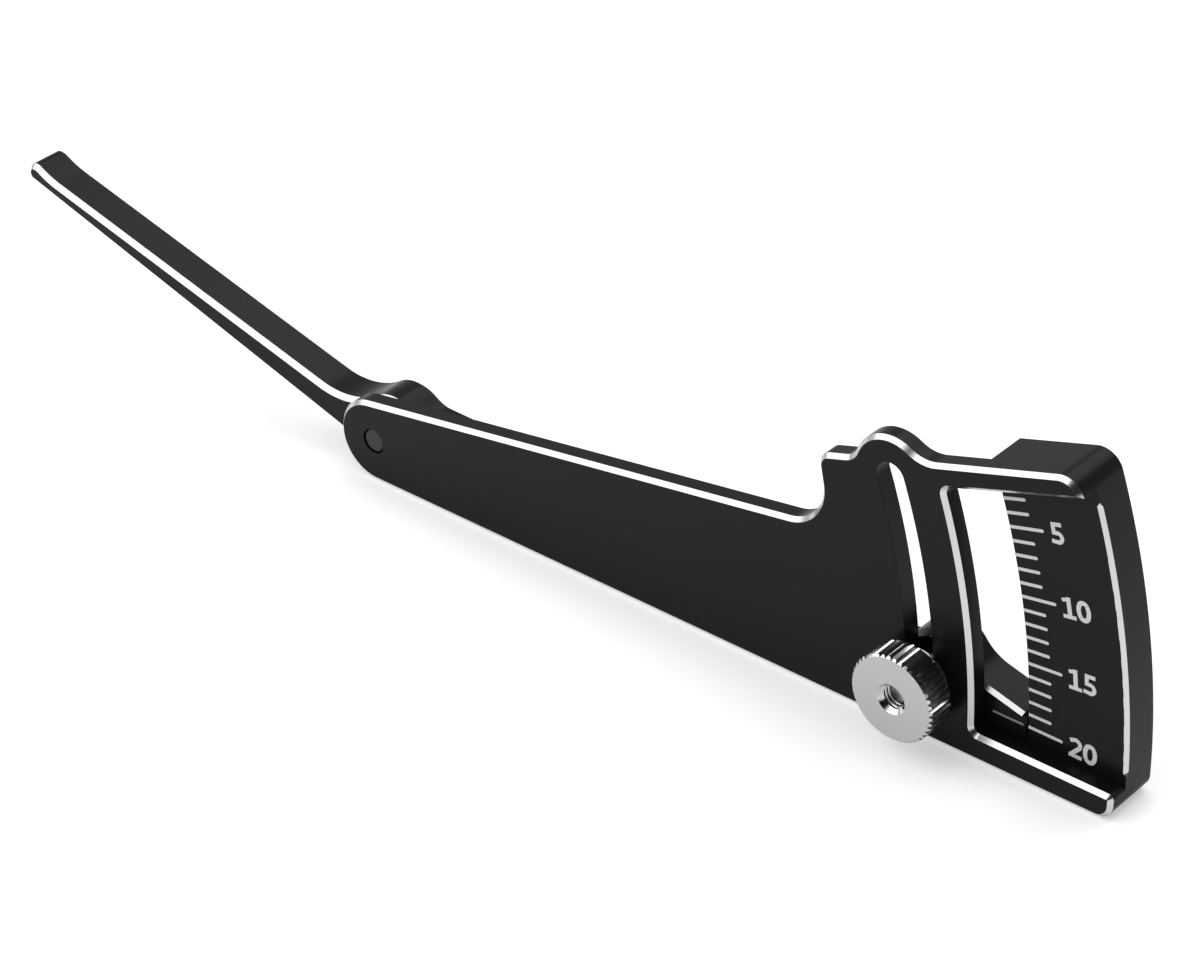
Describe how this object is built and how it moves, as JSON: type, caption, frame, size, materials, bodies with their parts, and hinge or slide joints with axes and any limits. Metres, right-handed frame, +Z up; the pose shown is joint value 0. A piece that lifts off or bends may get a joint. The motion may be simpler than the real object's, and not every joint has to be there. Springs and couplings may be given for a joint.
{
  "type": "ride height gauge",
  "caption": "Slim stand-up gauge: a pivoting lever with a long feeler finger points at an arc scale and is clamped in a curved slot by a knurled nut.",
  "frame": {"origin": "on the table plane, under the middle of the foot that carries the scale, half way through the block's depth", "axes": "+X along the base from the feeler finger's tip to the scale, +Y from the face with the nut to the back, +Z up from the table"},
  "size_m": [0.1559, 0.012, 0.0374],
  "materials": {
    "black_anodised": "black satin anodised, bright cut chamfers",
    "black_steel": "black oxide",
    "bronze": "plain bearing bronze",
    "plain_steel": "zinc plated",
    "bright_nickel": "nickel plated, turned face, knurled rim"
  },
  "bodies": {
    "base": {"base_frame": "black_anodised", "pivot_screw": "black_steel", "pivot_bush": "bronze", "pivot_washer": "plain_steel"},
    "lever": {"lever_arm": "black_anodised", "clamp_stud": "plain_steel"},
    "washer": {"clamp_washer": "plain_steel"},
    "nut": {"clamp_nut": "bright_nickel"}
  },
  "joints": [
    {"name": "lever_hinge", "type": "hinge", "parent": "base", "child": "lever", "pos_m": [-0.09174, 0, 0.0052], "axis": [0, -1, 0], "range_deg": [0, 17.1]},
    {"name": "nut_travel", "type": "slide", "parent": "lever", "child": "washer", "axis": [0, -1, 0], "range_m": [0, 0.001]},
    {"name": "nut_turn", "type": "hinge", "parent": "washer", "child": "nut", "pos_m": [-0.01627, -0.006, 0.00726], "axis": [0, -1, 0], "range_deg": [0, 720]}
  ],
  "couplings": [
    {"joint": "nut_turn", "follows": "nut_travel", "rad_per_m": 12566}
  ]
}
